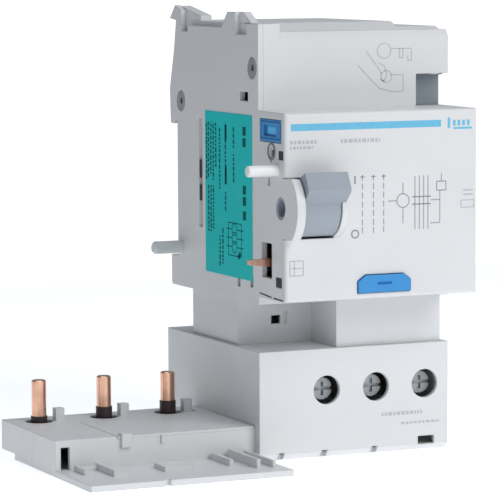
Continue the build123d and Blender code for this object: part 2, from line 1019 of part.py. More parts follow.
def terminal_front_shell():
    shell = block((left_x, right_x), (front_y, seam_y), (block_bottom, block_top))
    bottom_edge = shell.edges().group_by(Axis.Y)[0].sort_by(Axis.Z)[0]
    shell = chamfer(bottom_edge, bottom_chamfer)
    shell -= block_cavity(front_y + block_wall, seam_y)
    shell -= neck_opening(front_y, seam_y)
    tray = block((tray_left, left_x), (tray_front, seam_y), (block_bottom, tray_top))
    tray -= tray_cavity(tray_front + block_wall, seam_y, block_bottom + block_floor)
    tray -= block(
        (tray_left + tray_window[0], tray_left + tray_window[1]),
        (tray_front, tray_front + block_wall),
        tray_window_z,
    )
    shell += tray
    shell -= lid_seat()
    for x in terminal_places():
        shell -= rod_y(access_radius, front_y, front_y + block_wall, x, terminal_z)
        shell -= rod_z(
            cable_entry_radius, block_bottom, block_bottom + block_floor, x, cable_entry_y
        )
    for x in terminal_places()[:-1]:
        middle = x + terminal_pitch / 2
        shell += block(
            (middle - rib_half, middle + rib_half),
            (front_y + block_wall, rib_back),
            (block_bottom + block_floor, rib_top),
        )
    for x in slit_places:
        shell -= block(
            (x - slit_half, x + slit_half), (front_y, front_y + slit_depth), (block_bottom, slit_top)
        )
    shell -= block(latch_window[0], (front_y, front_y + slit_depth), latch_window[1])
    return shell + ledge()


def ledge():
    """Flat shelf in front of the tray, with low stops for the breaker."""
    top = block_bottom + ledge_thickness
    z = (block_bottom, top)
    shelf = block((tray_left, left_x - 0.5), (ledge_front, tray_front), z)
    for x, y, height in ledge_stops:
        shelf += block((left_x - x[1], left_x - x[0]), y, (top, top + height))
    notch = (left_x - ledge_notch[1], left_x - ledge_notch[0])
    return shelf - block(notch, (ledge_front, ledge_front + 1.2), z)


def lid_seat():
    return block(
        (lid_left - lid_gap, left_x),
        (tray_front, lid_back + lid_gap),
        (tray_top - lid_thickness, tray_top),
    )


def terminal_rear_shell():
    shell = block((left_x, right_x), (seam_y, block_back), (block_bottom, block_top))
    shell -= block_cavity(seam_y, block_back - block_wall)
    shell -= neck_opening(seam_y, block_back)
    tray = block((tray_left, left_x), (seam_y, tray_back), (block_bottom, tray_top))
    step_top = block_bottom + tray_step
    tray -= block((tray_left, left_x), (tray_step_y, tray_back), (block_bottom, step_top))
    step_inside = tray_step_y - block_wall
    tray -= tray_cavity(seam_y, step_inside, block_bottom + block_floor)
    tray -= tray_cavity(step_inside, tray_back - block_wall, step_top + block_wall)
    shell += tray
    shell -= lid_seat()
    # passage for the bars from the tray into the block
    ceiling = tray_top - tray_wall
    shell -= block(
        (left_x, left_x + block_wall),
        (bar_y - bar_passage, bar_y + bar_passage),
        (step_top + block_wall, ceiling),
    )
    for x in pin_places():
        shell -= rod_z(pin_aperture, ceiling, tray_top, x, pin_y)
        post_x = x + post_offset
        shell += block(
            (post_x - post_size / 2, post_x + post_size / 2),
            (pin_y - post_size / 2, pin_y + post_size / 2),
            (ceiling, tray_top + post_height),
        )
    # slits on both sides of the post nearest the block
    post_x = pin_first_x + post_offset
    for x in (post_x - post_size, post_x + post_size - post_slit):
        shell -= block((x, x + post_slit), (pin_y - 1.5, pin_y + 1.5), (ceiling, tray_top))
    return shell


def tray_cover():
    bottom = tray_top - lid_thickness
    lid = block((lid_left, left_x - lid_gap), (tray_front, lid_back), (bottom, tray_top))
    top = tray_top + lid_lip
    hook = block(lid_hook, (tray_front - 0.9, tray_front), (-58.8, top))
    catch = block(lid_hook, (tray_front, tray_front + 1.6), (tray_top, top))
    rib = block(lid_rib, (tray_front - 0.5, tray_front), (-58.5, tray_top - 0.4))
    return lid + hook + catch + rib


def plug_pins():
    pins = []
    for i, x in enumerate(pin_places()):
        pin = rod_z(pin_radius, collar_tops[i], pin_top, x, pin_y)
        pin = chamfer(pin.edges().group_by(Axis.Z)[-1], pin_chamfer)
        root = rod_z(pin_root_radius, bar_level(i) + bar_thickness, collar_tops[i], x, pin_y)
        pins.append(pin + root)
    return Compound(children=pins)


def pin_collars():
    collars = []
    for x, top in zip(pin_places(), collar_tops):
        bottom = tray_top - tray_wall
        collar = rod_z(pin_aperture - seat_fit, bottom, tray_top - collar_rim, x, pin_y)
        collar += rod_z(pin_radius + collar_wall, bottom, top, x, pin_y)
        collars.append(collar - rod_z(pin_root_radius + seat_fit, bottom, top, x, pin_y))
    return Compound(children=collars)


def bar_level(i):
    """Underside of the bar of pole i; the nearest pin has the highest bar."""
    top_level = tray_top - tray_wall - bar_gap - bar_thickness
    return top_level - i * (bar_thickness + bar_gap)


def riser_places():
    return [core_x - terminal_pitch + i * terminal_pitch for i in range(poles)]


def tray_bars():
    bars = []
    y = (bar_y - bar_width / 2, bar_y + bar_width / 2)
    for i, (pin_x, riser_x) in enumerate(zip(pin_places(), riser_places())):
        low = bar_level(i)
        high = low + bar_thickness
        right = riser_x + bar_thickness / 2
        bar = block((pin_x - bar_end, right), y, (low, high))
        bar += block((right - bar_thickness, right), y, (low, bar_riser_top))
        bars.append(bar)
    return Compound(children=bars)


def load_bars():
    """From each terminal, down past the cage, sideways and back up to the lead's end."""
    bars = []
    foot_z = cage_bottom - strap_drop
    foot = (foot_z, foot_z + bar_thickness)
    tongue_half = cage_half_width - cage_wall - clamp_gap
    bar_y_range = (clamp_bar_front, clamp_bar_front + bar_thickness)
    foot_front = clamp_bar_front - strap_foot
    for x in terminal_places():
        tongue = (x - tongue_half, x + tongue_half)
        strap_x = x - strap_offset
        strap = (strap_x - strap_width / 2, strap_x + strap_width / 2)
        bar = block(tongue, bar_y_range, (foot_z, cage_top - 2 * clamp_gap))
        bar += block((strap[0], tongue[1]), (foot_front, bar_y_range[1]), foot)
        bar += block(strap, (foot_front, strap_y + bar_thickness / 2), foot)
        bar += block(
            strap, (strap_y - bar_thickness / 2, strap_y + bar_thickness / 2), (foot_z, strap_top)
        )
        bars.append(bar)
    return Compound(children=bars)


def phase_leads():
    """Three insulated flexible conductors, up round the core and down through it."""
    leads = []
    for i, (riser_x, terminal_x) in enumerate(zip(riser_places(), terminal_places())):
        through_x = core_x + (i - 1) * lead_spacing
        end_x = terminal_x - strap_offset
        path = [
            (riser_x, bar_y + 0.5, bar_riser_top),
            (riser_x, bar_y + 0.5, lead_crown),
            (through_x, core_y, lead_crown),
            (through_x, core_y, -26.0),
            (end_x, strap_y, -36.0),
            (end_x, strap_y, strap_top),
        ]
        line = FilletPolyline(*path, radius=lead_bend)
        start = Plane(origin=line @ 0, z_dir=line % 0)
        leads.append(sweep(start * Circle(lead_radius), path=line))
    return Compound(children=leads)


def terminal_screw(x):
    head_back = screw_head_front + screw_head_thickness
    head = rod_y(screw_head_radius, screw_head_front, head_back, x, terminal_z)
    shank = rod_y(screw_radius, head_back, clamp_bar_front - clamp_gap, x, terminal_z)
    y = (screw_head_front, screw_head_front + screw_slot_depth)
    half = screw_slot / 2
    slot = block(
        (x - screw_head_radius, x + screw_head_radius), y, (terminal_z - half, terminal_z + half)
    )
    cross = block(
        (x - half, x + half), y, (terminal_z - screw_cross_half, terminal_z + screw_cross_half)
    )
    return head + shank - slot - cross


def terminal_cage(x):
    cage = block(
        (x - cage_half_width, x + cage_half_width), (cage_front, cage_back), (cage_bottom, cage_top)
    )
    inner = cage_half_width - cage_wall
    cage -= block(
        (x - inner, x + inner), (cage_front + cage_front_plate, wire_back), (cage_bottom, cage_top)
    )
    thread = rod_y(
        screw_radius + running_fit, cage_front, cage_front + cage_front_plate, x, terminal_z
    )
    return cage - thread


parts = {
    "main_shell": main_shell(),
    "left_cover": left_cover(),
    "front_cover": front_cover(),
    "neck_sleeve": neck_sleeve(),
    "rating_label": rating_label(),
    "fixing_peg": fixing_peg(),
    "locating_pin": locating_pin(),
    "case_rivets": case_rivets(),
    "toggle": toggle(),
    "trip_lever": trip_lever(),
    "pivot_bracket": pivot_bracket(),
    "test_button": test_button(),
    "test_spring": test_spring(),
    "test_contact": test_contact(),
    "lock_tab": lock_tab(),
    "rail_clip": rail_clip(),
    "toroid_core": toroid_core(),
    "sense_winding": sense_winding(),
    "core_holder": core_holder(),
    "relay_case": relay_case(),
    "relay_lid": relay_lid(),
    "relay_coil": relay_coil(),
    "relay_magnet": relay_magnet(),
    "relay_plunger": relay_plunger(),
    "trip_link": trip_link(),
    "link_guide": link_guide(),
    "circuit_board": circuit_board(),
    "capacitor": capacitor(),
    "test_resistor": test_resistor(),
    "terminal_front_shell": terminal_front_shell(),
    "terminal_rear_shell": terminal_rear_shell(),
    "tray_cover": tray_cover(),
    "plug_pins": plug_pins(),
    "pin_collars": pin_collars(),
    "tray_bars": tray_bars(),
    "load_bars": load_bars(),
    "phase_leads": phase_leads(),
}
for number, x in enumerate(terminal_places(), start=1):
    parts[f"terminal_screw_{number}"] = terminal_screw(x)
    parts[f"terminal_cage_{number}"] = terminal_cage(x)

os.makedirs("parts", exist_ok=True)
for name, shape in parts.items():
    export_step(shape, f"parts/{name}.step")
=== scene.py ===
import json
import math
import random

import bmesh
import bpy
from mathutils import Matrix, Vector


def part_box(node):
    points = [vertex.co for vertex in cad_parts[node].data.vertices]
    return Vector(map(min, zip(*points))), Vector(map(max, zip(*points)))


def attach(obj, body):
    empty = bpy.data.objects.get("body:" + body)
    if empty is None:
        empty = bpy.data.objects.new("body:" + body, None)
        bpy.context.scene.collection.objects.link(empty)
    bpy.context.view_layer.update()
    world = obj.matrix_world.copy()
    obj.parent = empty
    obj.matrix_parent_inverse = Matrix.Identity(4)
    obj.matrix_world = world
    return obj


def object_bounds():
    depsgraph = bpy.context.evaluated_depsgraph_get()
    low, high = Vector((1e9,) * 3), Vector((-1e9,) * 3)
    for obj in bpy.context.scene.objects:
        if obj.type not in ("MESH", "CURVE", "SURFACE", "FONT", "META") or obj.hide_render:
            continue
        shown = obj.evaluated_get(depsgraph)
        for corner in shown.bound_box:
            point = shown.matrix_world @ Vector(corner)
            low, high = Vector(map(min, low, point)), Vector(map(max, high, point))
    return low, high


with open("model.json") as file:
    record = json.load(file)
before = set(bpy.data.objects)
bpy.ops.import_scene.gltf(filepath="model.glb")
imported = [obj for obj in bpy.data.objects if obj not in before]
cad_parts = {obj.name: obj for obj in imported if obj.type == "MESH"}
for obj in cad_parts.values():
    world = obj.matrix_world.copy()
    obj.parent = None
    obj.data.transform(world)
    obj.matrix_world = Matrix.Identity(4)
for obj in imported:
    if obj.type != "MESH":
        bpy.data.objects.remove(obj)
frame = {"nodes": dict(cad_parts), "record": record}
cad_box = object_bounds()
nodes = frame["nodes"]
MM = 0.001
random.seed(7)
# sizes in mm
BUTTON_PROUD = 0.6  # how far the test button stands in front of the nose
TAB_POCKET_DEPTH = 0.7
NOTCH_DEPTH = 5.0
INK_THICKNESS = 0.03
THIN_INK = 0.015
BOSS_HEIGHT = 0.2
PANEL_THICKNESS = 0.25
HAIRLINE = 0.22
FINE_LINE = 0.24
LINE = 0.26
PRINT_GAP = 0.35
SHORTEST_DASH, LONGEST_DASH = 0.5, 1.4  # of the stated length

# ---------------------------------------------------------------- camera
CAMERA_AT = Vector((-0.3367, -0.7322, 0.0617))
CAMERA_AIM = Vector((-0.0193, -0.0300, -0.0140))
CAMERA_LENS = 220.4
CAMERA_ROLL = math.radians(-0.28)
SENSOR_WIDTH = 36.0
CLIP_END = 50.0


def add_camera():
    data = bpy.data.cameras.new("camera")
    data.lens = CAMERA_LENS
    data.sensor_width = SENSOR_WIDTH
    data.clip_end = CLIP_END
    camera = bpy.data.objects.new("camera", data)
    look = (CAMERA_AIM - CAMERA_AT).to_track_quat("-Z", "Y").to_matrix().to_4x4()
    roll = Matrix.Rotation(CAMERA_ROLL, 4, "Z")
    camera.matrix_world = Matrix.Translation(CAMERA_AT) @ look @ roll
    bpy.context.scene.collection.objects.link(camera)
    bpy.context.scene.camera = camera


# ---------------------------------------------------------------- node helpers
def new_material(name):
    material = bpy.data.materials.new(name)
    material.use_nodes = True
    tree = material.node_tree
    return material, tree, tree.nodes["Principled BSDF"]


def noise(tree, scale, detail=3.0, roughness=0.5, stretch=(1.0, 1.0, 1.0)):
    """Noise in object space; scale is features per metre."""
    coords = tree.nodes.new("ShaderNodeTexCoord")
    mapping = tree.nodes.new("ShaderNodeMapping")
    mapping.inputs["Scale"].default_value = stretch
    texture = tree.nodes.new("ShaderNodeTexNoise")
    texture.inputs["Scale"].default_value = scale
    texture.inputs["Detail"].default_value = detail
    texture.inputs["Roughness"].default_value = roughness
    tree.links.new(coords.outputs["Object"], mapping.inputs["Vector"])
    tree.links.new(mapping.outputs["Vector"], texture.inputs["Vector"])
    return texture.outputs["Fac"]


def remap(tree, value, low, high, in_low=0.0, in_high=1.0):
    node = tree.nodes.new("ShaderNodeMapRange")
    node.inputs["From Min"].default_value = in_low
    node.inputs["From Max"].default_value = in_high
    node.inputs["To Min"].default_value = low
    node.inputs["To Max"].default_value = high
    tree.links.new(value, node.inputs["Value"])
    return node.outputs["Result"]


def blend_colours(tree, factor, first, second):
    node = tree.nodes.new("ShaderNodeMix")
    node.data_type = "RGBA"
    node.inputs["A"].default_value = (*first, 1.0)
    node.inputs["B"].default_value = (*second, 1.0)
    tree.links.new(factor, node.inputs["Factor"])
    return node.outputs["Result"]


def scaled(colour, gain):
    return tuple(min(1.0, c * gain) for c in colour)


def rounded_normal(tree, radius):
    node = tree.nodes.new("ShaderNodeBevel")
    node.samples = 4
    node.inputs["Radius"].default_value = radius
    return node.outputs["Normal"]


def bump(tree, height, strength, distance, normal=None):
    node = tree.nodes.new("ShaderNodeBump")
    node.inputs["Strength"].default_value = strength
    node.inputs["Distance"].default_value = distance
    tree.links.new(height, node.inputs["Height"])
    if normal is not None:
        tree.links.new(normal, node.inputs["Normal"])
    return node.outputs["Normal"]


def edge_mask(tree, radius):
    """One along sharp edges and zero on flat faces; it lifts the colour there as a painted edge
    highlight, partly edge wear.
    """
    bevel = rounded_normal(tree, radius)
    geometry = tree.nodes.new("ShaderNodeNewGeometry")
    dot = tree.nodes.new("ShaderNodeVectorMath")
    dot.operation = "DOT_PRODUCT"
    tree.links.new(bevel, dot.inputs[0])
    tree.links.new(geometry.outputs["Normal"], dot.inputs[1])
    return remap(tree, dot.outputs["Value"], 1.0, 0.0, 0.75, 0.995)


# ---------------------------------------------------------------- materials
# noise scales, in features per metre
TONE_DRIFT = 55.0
SPARK_GRAIN = 5200.0
GLOSS_PATCHES = 160.0
DRAW_STREAKS = 1800.0
TARNISH_CLOUDS = 220.0
INK_SPECKS = 2600.0
PAPER_FIBRES = 1500.0
PAPER_TONE = 70.0
WIRE_TURNS = 160.0
# edge radii and relief depths, in metres
MOULDED_EDGE = 0.00035
METAL_EDGE = 0.00015
GRAIN_DEPTH = 0.00004
STREAK_DEPTH = 0.00003
INK_DEPTH = 0.00002
FIBRE_DEPTH = 0.00003
TURN_DEPTH = 0.0001


def moulded_plastic(name, colour, roughness=0.42, grain=0.12, coat=0.0):
    """Injection-moulded plastic: fine spark-eroded grain, slow tone drift, edges painted lighter
    as a highlight and partly as wear.
    """
    material, tree, shader = new_material(name)
    drift = remap(tree, noise(tree, TONE_DRIFT, 2.0), 0.0, 1.0, 0.3, 0.7)
    fine = noise(tree, SPARK_GRAIN, 2.0)
    gloss = noise(tree, GLOSS_PATCHES, 4.0)
    base = blend_colours(tree, drift, scaled(colour, 0.975), colour)
    # colour lifted along sharp edges: painted edge highlight, partly edge wear
    edges_lit_and_worn = tree.nodes.new("ShaderNodeMix")
    edges_lit_and_worn.data_type = "RGBA"
    edges_lit_and_worn.inputs["B"].default_value = (*scaled(colour, 1.06), 1.0)
    tree.links.new(base, edges_lit_and_worn.inputs["A"])
    tree.links.new(edge_mask(tree, MOULDED_EDGE), edges_lit_and_worn.inputs["Factor"])
    tree.links.new(edges_lit_and_worn.outputs["Result"], shader.inputs["Base Color"])
    tree.links.new(
        remap(tree, gloss, roughness - 0.06, roughness + 0.06, 0.3, 0.7),
        shader.inputs["Roughness"],
    )
    shader.inputs["Specular IOR Level"].default_value = 0.45
    shader.inputs["Coat Weight"].default_value = coat
    shader.inputs["Coat Roughness"].default_value = 0.2
    tree.links.new(
        bump(tree, fine, grain, GRAIN_DEPTH, rounded_normal(tree, MOULDED_EDGE)),
        shader.inputs["Normal"],
    )
    return material


def drawn_metal(name, colour, roughness=0.22, along=(1.0, 1.0, 1.0), tarnish=0.12):
    """Drawn or rolled metal: streaks along the work, light tarnish."""
    material, tree, shader = new_material(name)
    streaks = noise(tree, DRAW_STREAKS, 3.0, 0.6, along)
    cloud = noise(tree, TARNISH_CLOUDS, 4.0)
    base = blend_colours(
        tree, remap(tree, cloud, 0.0, 1.0, 0.35, 0.75), colour, scaled(colour, 1.0 - tarnish)
    )
    tree.links.new(base, shader.inputs["Base Color"])
    shader.inputs["Metallic"].default_value = 1.0
    tree.links.new(
        remap(tree, streaks, roughness - 0.07, roughness + 0.10, 0.25, 0.75),
        shader.inputs["Roughness"],
    )
    tree.links.new(
        bump(tree, streaks, 0.15, STREAK_DEPTH, rounded_normal(tree, METAL_EDGE)),
        shader.inputs["Normal"],
    )
    return material


def printed(name, colour, roughness=0.5):
    """Thin ink: slightly uneven tone."""
    material, tree, shader = new_material(name)
    speck = noise(tree, INK_SPECKS, 3.0)
    tone = remap(tree, speck, 0.0, 1.0, 0.35, 0.65)
    tree.links.new(
        blend_colours(tree, tone, colour, scaled(colour, 1.12)), shader.inputs["Base Color"]
    )
    tree.links.new(
        remap(tree, speck, roughness - 0.05, roughness + 0.05), shader.inputs["Roughness"]
    )
    shader.inputs["Specular IOR Level"].default_value = 0.1
    tree.links.new(bump(tree, speck, 0.05, INK_DEPTH), shader.inputs["Normal"])
    return material


def label_paper(name, colour):
    """Coated paper: fibres along the label, faintly cloudy tone."""
    material, tree, shader = new_material(name)
    fibres = noise(tree, PAPER_FIBRES, 5.0, 0.65, (1.0, 1.0, 0.35))
    tone = remap(tree, noise(tree, PAPER_TONE, 3.0), 0.0, 1.0, 0.3, 0.7)
    tree.links.new(
        blend_colours(tree, tone, scaled(colour, 0.93), colour), shader.inputs["Base Color"]
    )
    tree.links.new(remap(tree, fibres, 0.5, 0.65), shader.inputs["Roughness"])
    shader.inputs["Specular IOR Level"].default_value = 0.15
    tree.links.new(bump(tree, fibres, 0.08, FIBRE_DEPTH), shader.inputs["Normal"])
    return material


def wound_wire(name, colour):
    """Enamelled wire laid in close turns, with painted shade in the grooves between them."""
    material, tree, shader = new_material(name)
    coords = tree.nodes.new("ShaderNodeTexCoord")
    wave = tree.nodes.new("ShaderNodeTexWave")
    wave.bands_direction = "Z"
    wave.inputs["Scale"].default_value = WIRE_TURNS
    wave.inputs["Distortion"].default_value = 0.3
    wave.inputs["Detail Scale"].default_value = 30.0
    tree.links.new(coords.outputs["Object"], wave.inputs["Vector"])
    turns = wave.outputs["Fac"]
    # colour drops to 0.45 between turns: painted shade in the grooves
    tree.links.new(
        blend_colours(tree, turns, scaled(colour, 0.45), colour), shader.inputs["Base Color"]
    )
    tree.links.new(remap(tree, turns, 0.45, 0.22), shader.inputs["Roughness"])
    shader.inputs["Metallic"].default_value = 0.6
    shader.inputs["Coat Weight"].default_value = 0.5
    tree.links.new(bump(tree, turns, 0.7, TURN_DEPTH), shader.inputs["Normal"])
    return material


made = {
    "case_white": moulded_plastic("case_white", (0.70, 0.70, 0.712)),
    "label": label_paper("label_teal", (0.012, 0.56, 0.56)),
    "grey_plastic": moulded_plastic("grey_plastic", (0.66, 0.69, 0.70)),
    "pin_white": moulded_plastic("pin_white", (0.86, 0.86, 0.86), 0.35),
    "toggle_grey": moulded_plastic("toggle_grey", (0.315, 0.35, 0.40), 0.5, 0.15),
    "blue": moulded_plastic("control_blue", (0.04, 0.27, 0.62), 0.36, 0.08, coat=0.1),
    "steel": drawn_metal("zinc_steel", (0.46, 0.47, 0.49), 0.55),
    "spring_steel": drawn_metal("strip_steel", (0.55, 0.55, 0.57), 0.3, (1.0, 1.0, 0.1)),
    "copper": drawn_metal("drawn_copper", (0.86, 0.50, 0.36), 0.24, (1.0, 1.0, 0.04), 0.25),
    "collar_black": moulded_plastic("collar_dark", (0.035, 0.018, 0.020), 0.35),
    "ferrite": moulded_plastic("sintered_core", (0.05, 0.05, 0.055), 0.7, 0.5),
    "winding": wound_wire("wound_wire", (0.50, 0.17, 0.06)),
    "relay_black": moulded_plastic("relay_black", (0.02, 0.02, 0.022), 0.4),
    "board": moulded_plastic("board_green", (0.04, 0.17, 0.08), 0.35),
    "component_blue": moulded_plastic("film_capacitor", (0.03, 0.10, 0.32), 0.25, 0.2, coat=0.5),
    "component_tan": moulded_plastic("resistor_tan", (0.52, 0.40, 0.24), 0.4, 0.2),
    "lead_insulation": moulded_plastic("lead_insulation", (0.10, 0.045, 0.03), 0.5, 0.3),
}
ink_dark = printed("ink_dark", (0.004, 0.10, 0.11), 0.8)
ink_grey = printed("ink_grey", (0.30, 0.31, 0.34))
ink_faint = printed("ink_faint", (0.46, 0.465, 0.49))
ink_blue = printed("ink_blue", (0.15, 0.46, 0.66))
ink_navy = printed("ink_navy", (0.02, 0.13, 0.36))
# lighter blue: painted highlight for the lit face in the lock tab's pocket
lit_face_blue = moulded_plastic("lit_face_blue", (0.12, 0.60, 1.0), 0.35, 0.08)
pocket_grey = moulded_plastic("pocket_grey", (0.22, 0.25, 0.28), 0.5)
# near-black: the dark seam line, and painted shade for the side apertures
seam_dark_and_hole_shade = moulded_plastic("seam_dark_and_hole_shade", (0.02, 0.022, 0.026), 0.6)


def dress_cad_nodes():
    slots = {s["node"]: s["material_slot"] for s in frame["record"]["subparts"]}
    for name, node in nodes.items():
        node.data.materials.clear()
        node.data.materials.append(made[slots[name]])
        for polygon in node.data.polygons:
            polygon.material_index = 0


# ---------------------------------------------------------------- flat print on faces
def print_strips(name, place, strips, material, body, thickness=INK_THICKNESS):
    """Thin ink pads on a face. place maps (u, v, height) in mm to a point in mm.
    Each strip is (u0, v0, u1, v1, width): a stroke between two points."""
    bm = bmesh.new()
    for u0, v0, u1, v1, width in strips:
        run = Vector((u1 - u0, v1 - v0))
        side = Vector((-run.y, run.x)).normalized() * (width / 2)
        corners = [
            (u0 + side.x, v0 + side.y),
            (u0 - side.x, v0 - side.y),
            (u1 - side.x, v1 - side.y),
            (u1 + side.x, v1 + side.y),
        ]
        low = [bm.verts.new(Vector(place(u, v, 0.0)) * MM) for u, v in corners]
        high = [bm.verts.new(Vector(place(u, v, thickness)) * MM) for u, v in corners]
        bm.faces.new(low[::-1])
        bm.faces.new(high)
        for i in range(4):
            j = (i + 1) % 4
            bm.faces.new((low[i], low[j], high[j], high[i]))
    bmesh.ops.recalc_face_normals(bm, faces=bm.faces)
    add_piece(name, bm, material, body)


def add_piece(name, bm, material, body):
    mesh = bpy.data.meshes.new(name)
    bm.to_mesh(mesh)
    bm.free()
    mesh.materials.append(material)
    piece = bpy.data.objects.new(name, mesh)
    bpy.context.scene.collection.objects.link(piece)
    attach(piece, body)


def low_mm(node):
    """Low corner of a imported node, in mm."""
    return [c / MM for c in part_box(node)[0]]


def facing_front(y):
    """Places (x, z) print on a face at this y that looks forward."""
    def place(x, z, height):
        return (x, y - height, z)
    return place


def facing_left(x):
    """Places (y, z) print on a face at this x that looks left."""
    def place(y, z, height):
        return (x - height, y, z)
    return place


button_y = low_mm("test_button")[1]
upper_y = low_mm("main_shell")[1]
tab_x = low_mm("lock_tab")[0]
on_nose = facing_front(button_y + BUTTON_PROUD)
on_upper = facing_front(upper_y)
on_label = facing_left(low_mm("rating_label")[0])


def polyline(points, width, closed=False):
    ends = points[1:] + (points[:1] if closed else [])
    return [(*a, *b, width) for a, b in zip(points, ends)]


def ring(u, v, radius, width, steps):
    angles = [math.radians(360.0 * i / steps) for i in range(steps + 1)]
    points = [(u + radius * math.cos(a), v + radius * math.sin(a)) for a in angles]
    return polyline(points, width)


def front_stripe():
    """Blue line across the nose, ended by a plain mark of bars."""
    print_strips("nose_stripe", on_nose, [(-24.6, 18.9, 16.2, 18.9, 1.7)], ink_blue, "housing")
    mark = [(18.4, 17.6, 18.4, 20.2, 0.7), (19.6, 17.6, 24.8, 17.6, 0.5)]
    mark += [(19.9 + 1.3 * i, 18.2, 19.9 + 1.3 * i, 19.6, 0.75) for i in range(4)]
    print_strips("nose_mark", on_nose, mark, ink_blue, "housing")


def dashes(start, stop, across, length, width, vertical=False):
    """A row of short bars that stands for a line of small print."""
    row = []
    at = start
    while at < stop:
        size = length * random.uniform(SHORTEST_DASH, LONGEST_DASH)
        end = min(at + size, stop)
        if vertical:
            row.append((across, at, across, end, width))
        else:
            row.append((at, across, end, across, width))
        at = end + PRINT_GAP
    return row


def nose_print():
    """Small print under the stripe, and two plain symbols."""
    rows = dashes(-24.8, -17.4, 15.3, 0.9, 0.9)
    rows += dashes(-24.8, -18.6, 14.0, 0.8, 0.7)
    rows += dashes(-11.2, -0.6, 15.3, 0.8, 0.9)
    rows += polyline([(-25.0, -13.4), (-21.4, -13.4), (-21.4, -17.0), (-25.0, -17.0)], 0.25, True)
    rows += [(-23.8, -13.4, -23.8, -17.0, HAIRLINE), (-25.0, -15.2, -21.4, -15.2, HAIRLINE)]
    rows += [(22.4, 2.2, 25.2, 2.2, 0.4), (22.4, 1.1, 25.2, 1.1, 0.4)]
    rows += polyline([(21.8, -0.3), (25.4, -0.3), (25.4, -2.1), (21.8, -2.1)], 0.25, True)
    print_strips("nose_small_print", on_nose, rows, ink_faint, "housing")


def wiring_diagram():
    """Dashed poles, a summing ring round four conductors, and a relay box."""
    lines = []
    for x in (-5.4, -2.4, 0.4):
        lines += [(x, z, x, z - 1.5, LINE) for z in (4.8, 2.6, 0.4, -1.8, -4.0, -5.9)]
        lines += [(x - 0.6, 6.4, x + 0.6, 6.4, LINE), (x, 6.9, x, 5.4, FINE_LINE)]
    lines += ring(5.7, 0.2, 1.7, LINE, 20)
    lines += [(3.9, 0.2, 1.6, 0.2, FINE_LINE)]
    lines += [(5.7, 1.9, 5.7, 4.6, FINE_LINE), (5.7, -1.5, 5.7, -5.4, FINE_LINE)]
    for x in (9.0, 10.2, 11.4, 12.6):
        lines += [(x, 6.2, x, -7.0, FINE_LINE)]
    lines += [(8.2, 1.0, 13.4, 1.0, 0.3), (8.2, -0.8, 13.4, -0.8, 0.3)]
    lines += polyline([(13.4, 0.1), (15.9, 0.1), (15.9, -5.6), (13.2, -5.6)], FINE_LINE)
    lines += polyline([(15.0, 4.6), (17.6, 4.6), (17.6, 2.4), (15.0, 2.4)], LINE, True)
    lines += [(15.9, 0.1, 15.9, 2.4, FINE_LINE), (16.3, 4.6, 16.3, 6.6, FINE_LINE)]
    print_strips("wiring_diagram", on_nose, lines, ink_grey, "housing")


def switch_marks():
    """A bar for on and a ring for off, beside the toggle."""
    marks = [(-7.4, 4.7, -7.4, 6.7, 0.45)] + ring(-7.4, -7.5, 0.95, 0.4, 16)
    print_strips("switch_marks", on_nose, marks, ink_grey, "housing")


def terminal_print():
    """Two rows of faint print under the terminals, whose face is level with the housing's."""
    rows = dashes(7.5, 19.0, -55.0, 0.9, 0.9)
    rows += dashes(13.0, 24.0, -57.6, 0.9, 0.6)
    print_strips("terminal_print", on_upper, rows, ink_faint, "terminal_unit")


def handling_icon():
    """A hand turning a key, as line work."""
    lines = ring(8.3, 36.4, 1.9, FINE_LINE, 18)
    key = [(10.2, 36.9), (15.9, 36.9), (15.9, 33.9), (14.9, 33.9), (14.9, 35.2)]
    lines += polyline(key, FINE_LINE)
    lines += polyline([(13.5, 36.9), (13.5, 34.6), (12.6, 34.6), (12.6, 36.9)], FINE_LINE)
    lines += polyline([(3.3, 36.4), (6.3, 32.6), (7.7, 30.6)], FINE_LINE)
    lines += polyline([(0.9, 33.0), (4.3, 29.6), (7.1, 27.0), (10.5, 26.2)], FINE_LINE)
    thumb = [(6.7, 33.4), (8.3, 32.6), (9.1, 30.6), (8.3, 28.8), (7.1, 29.4)]
    lines += polyline(thumb, FINE_LINE)
    lines += polyline([(10.1, 30.4), (13.6, 30.4), (13.6, 26.2), (10.5, 26.2)], FINE_LINE)
    lines += ring(8.9, 30.0, 1.5, HAIRLINE, 14)
    print_strips("handling_icon", on_upper, lines, ink_faint, "housing")


def control_marks():
    """Lighter blue pad and rim on the lock tab, the pad a painted highlight for its lit face, and
    a plain bar on the test button.
    """
    pocket = facing_left(tab_x + TAB_POCKET_DEPTH)
    # lighter pad on the pocket floor: painted highlight where the face turns to the light
    lit_face_pad = [(-60.2, 17.85, -54.6, 17.85, 1.9)]
    print_strips("tab_lit_face", pocket, lit_face_pad, lit_face_blue, "lock_tab")
    rim = polyline([(-63.4, 15.9), (-52.2, 15.9), (-52.2, 20.0), (-63.4, 20.0)], 0.35, True)
    print_strips("tab_rim", facing_left(tab_x), rim, ink_navy, "lock_tab", THIN_INK)
    bar = [(-1.6, -19.8, 2.4, -19.8, 0.7)]
    print_strips("button_mark", facing_front(button_y), bar, ink_navy, "test_button", THIN_INK)


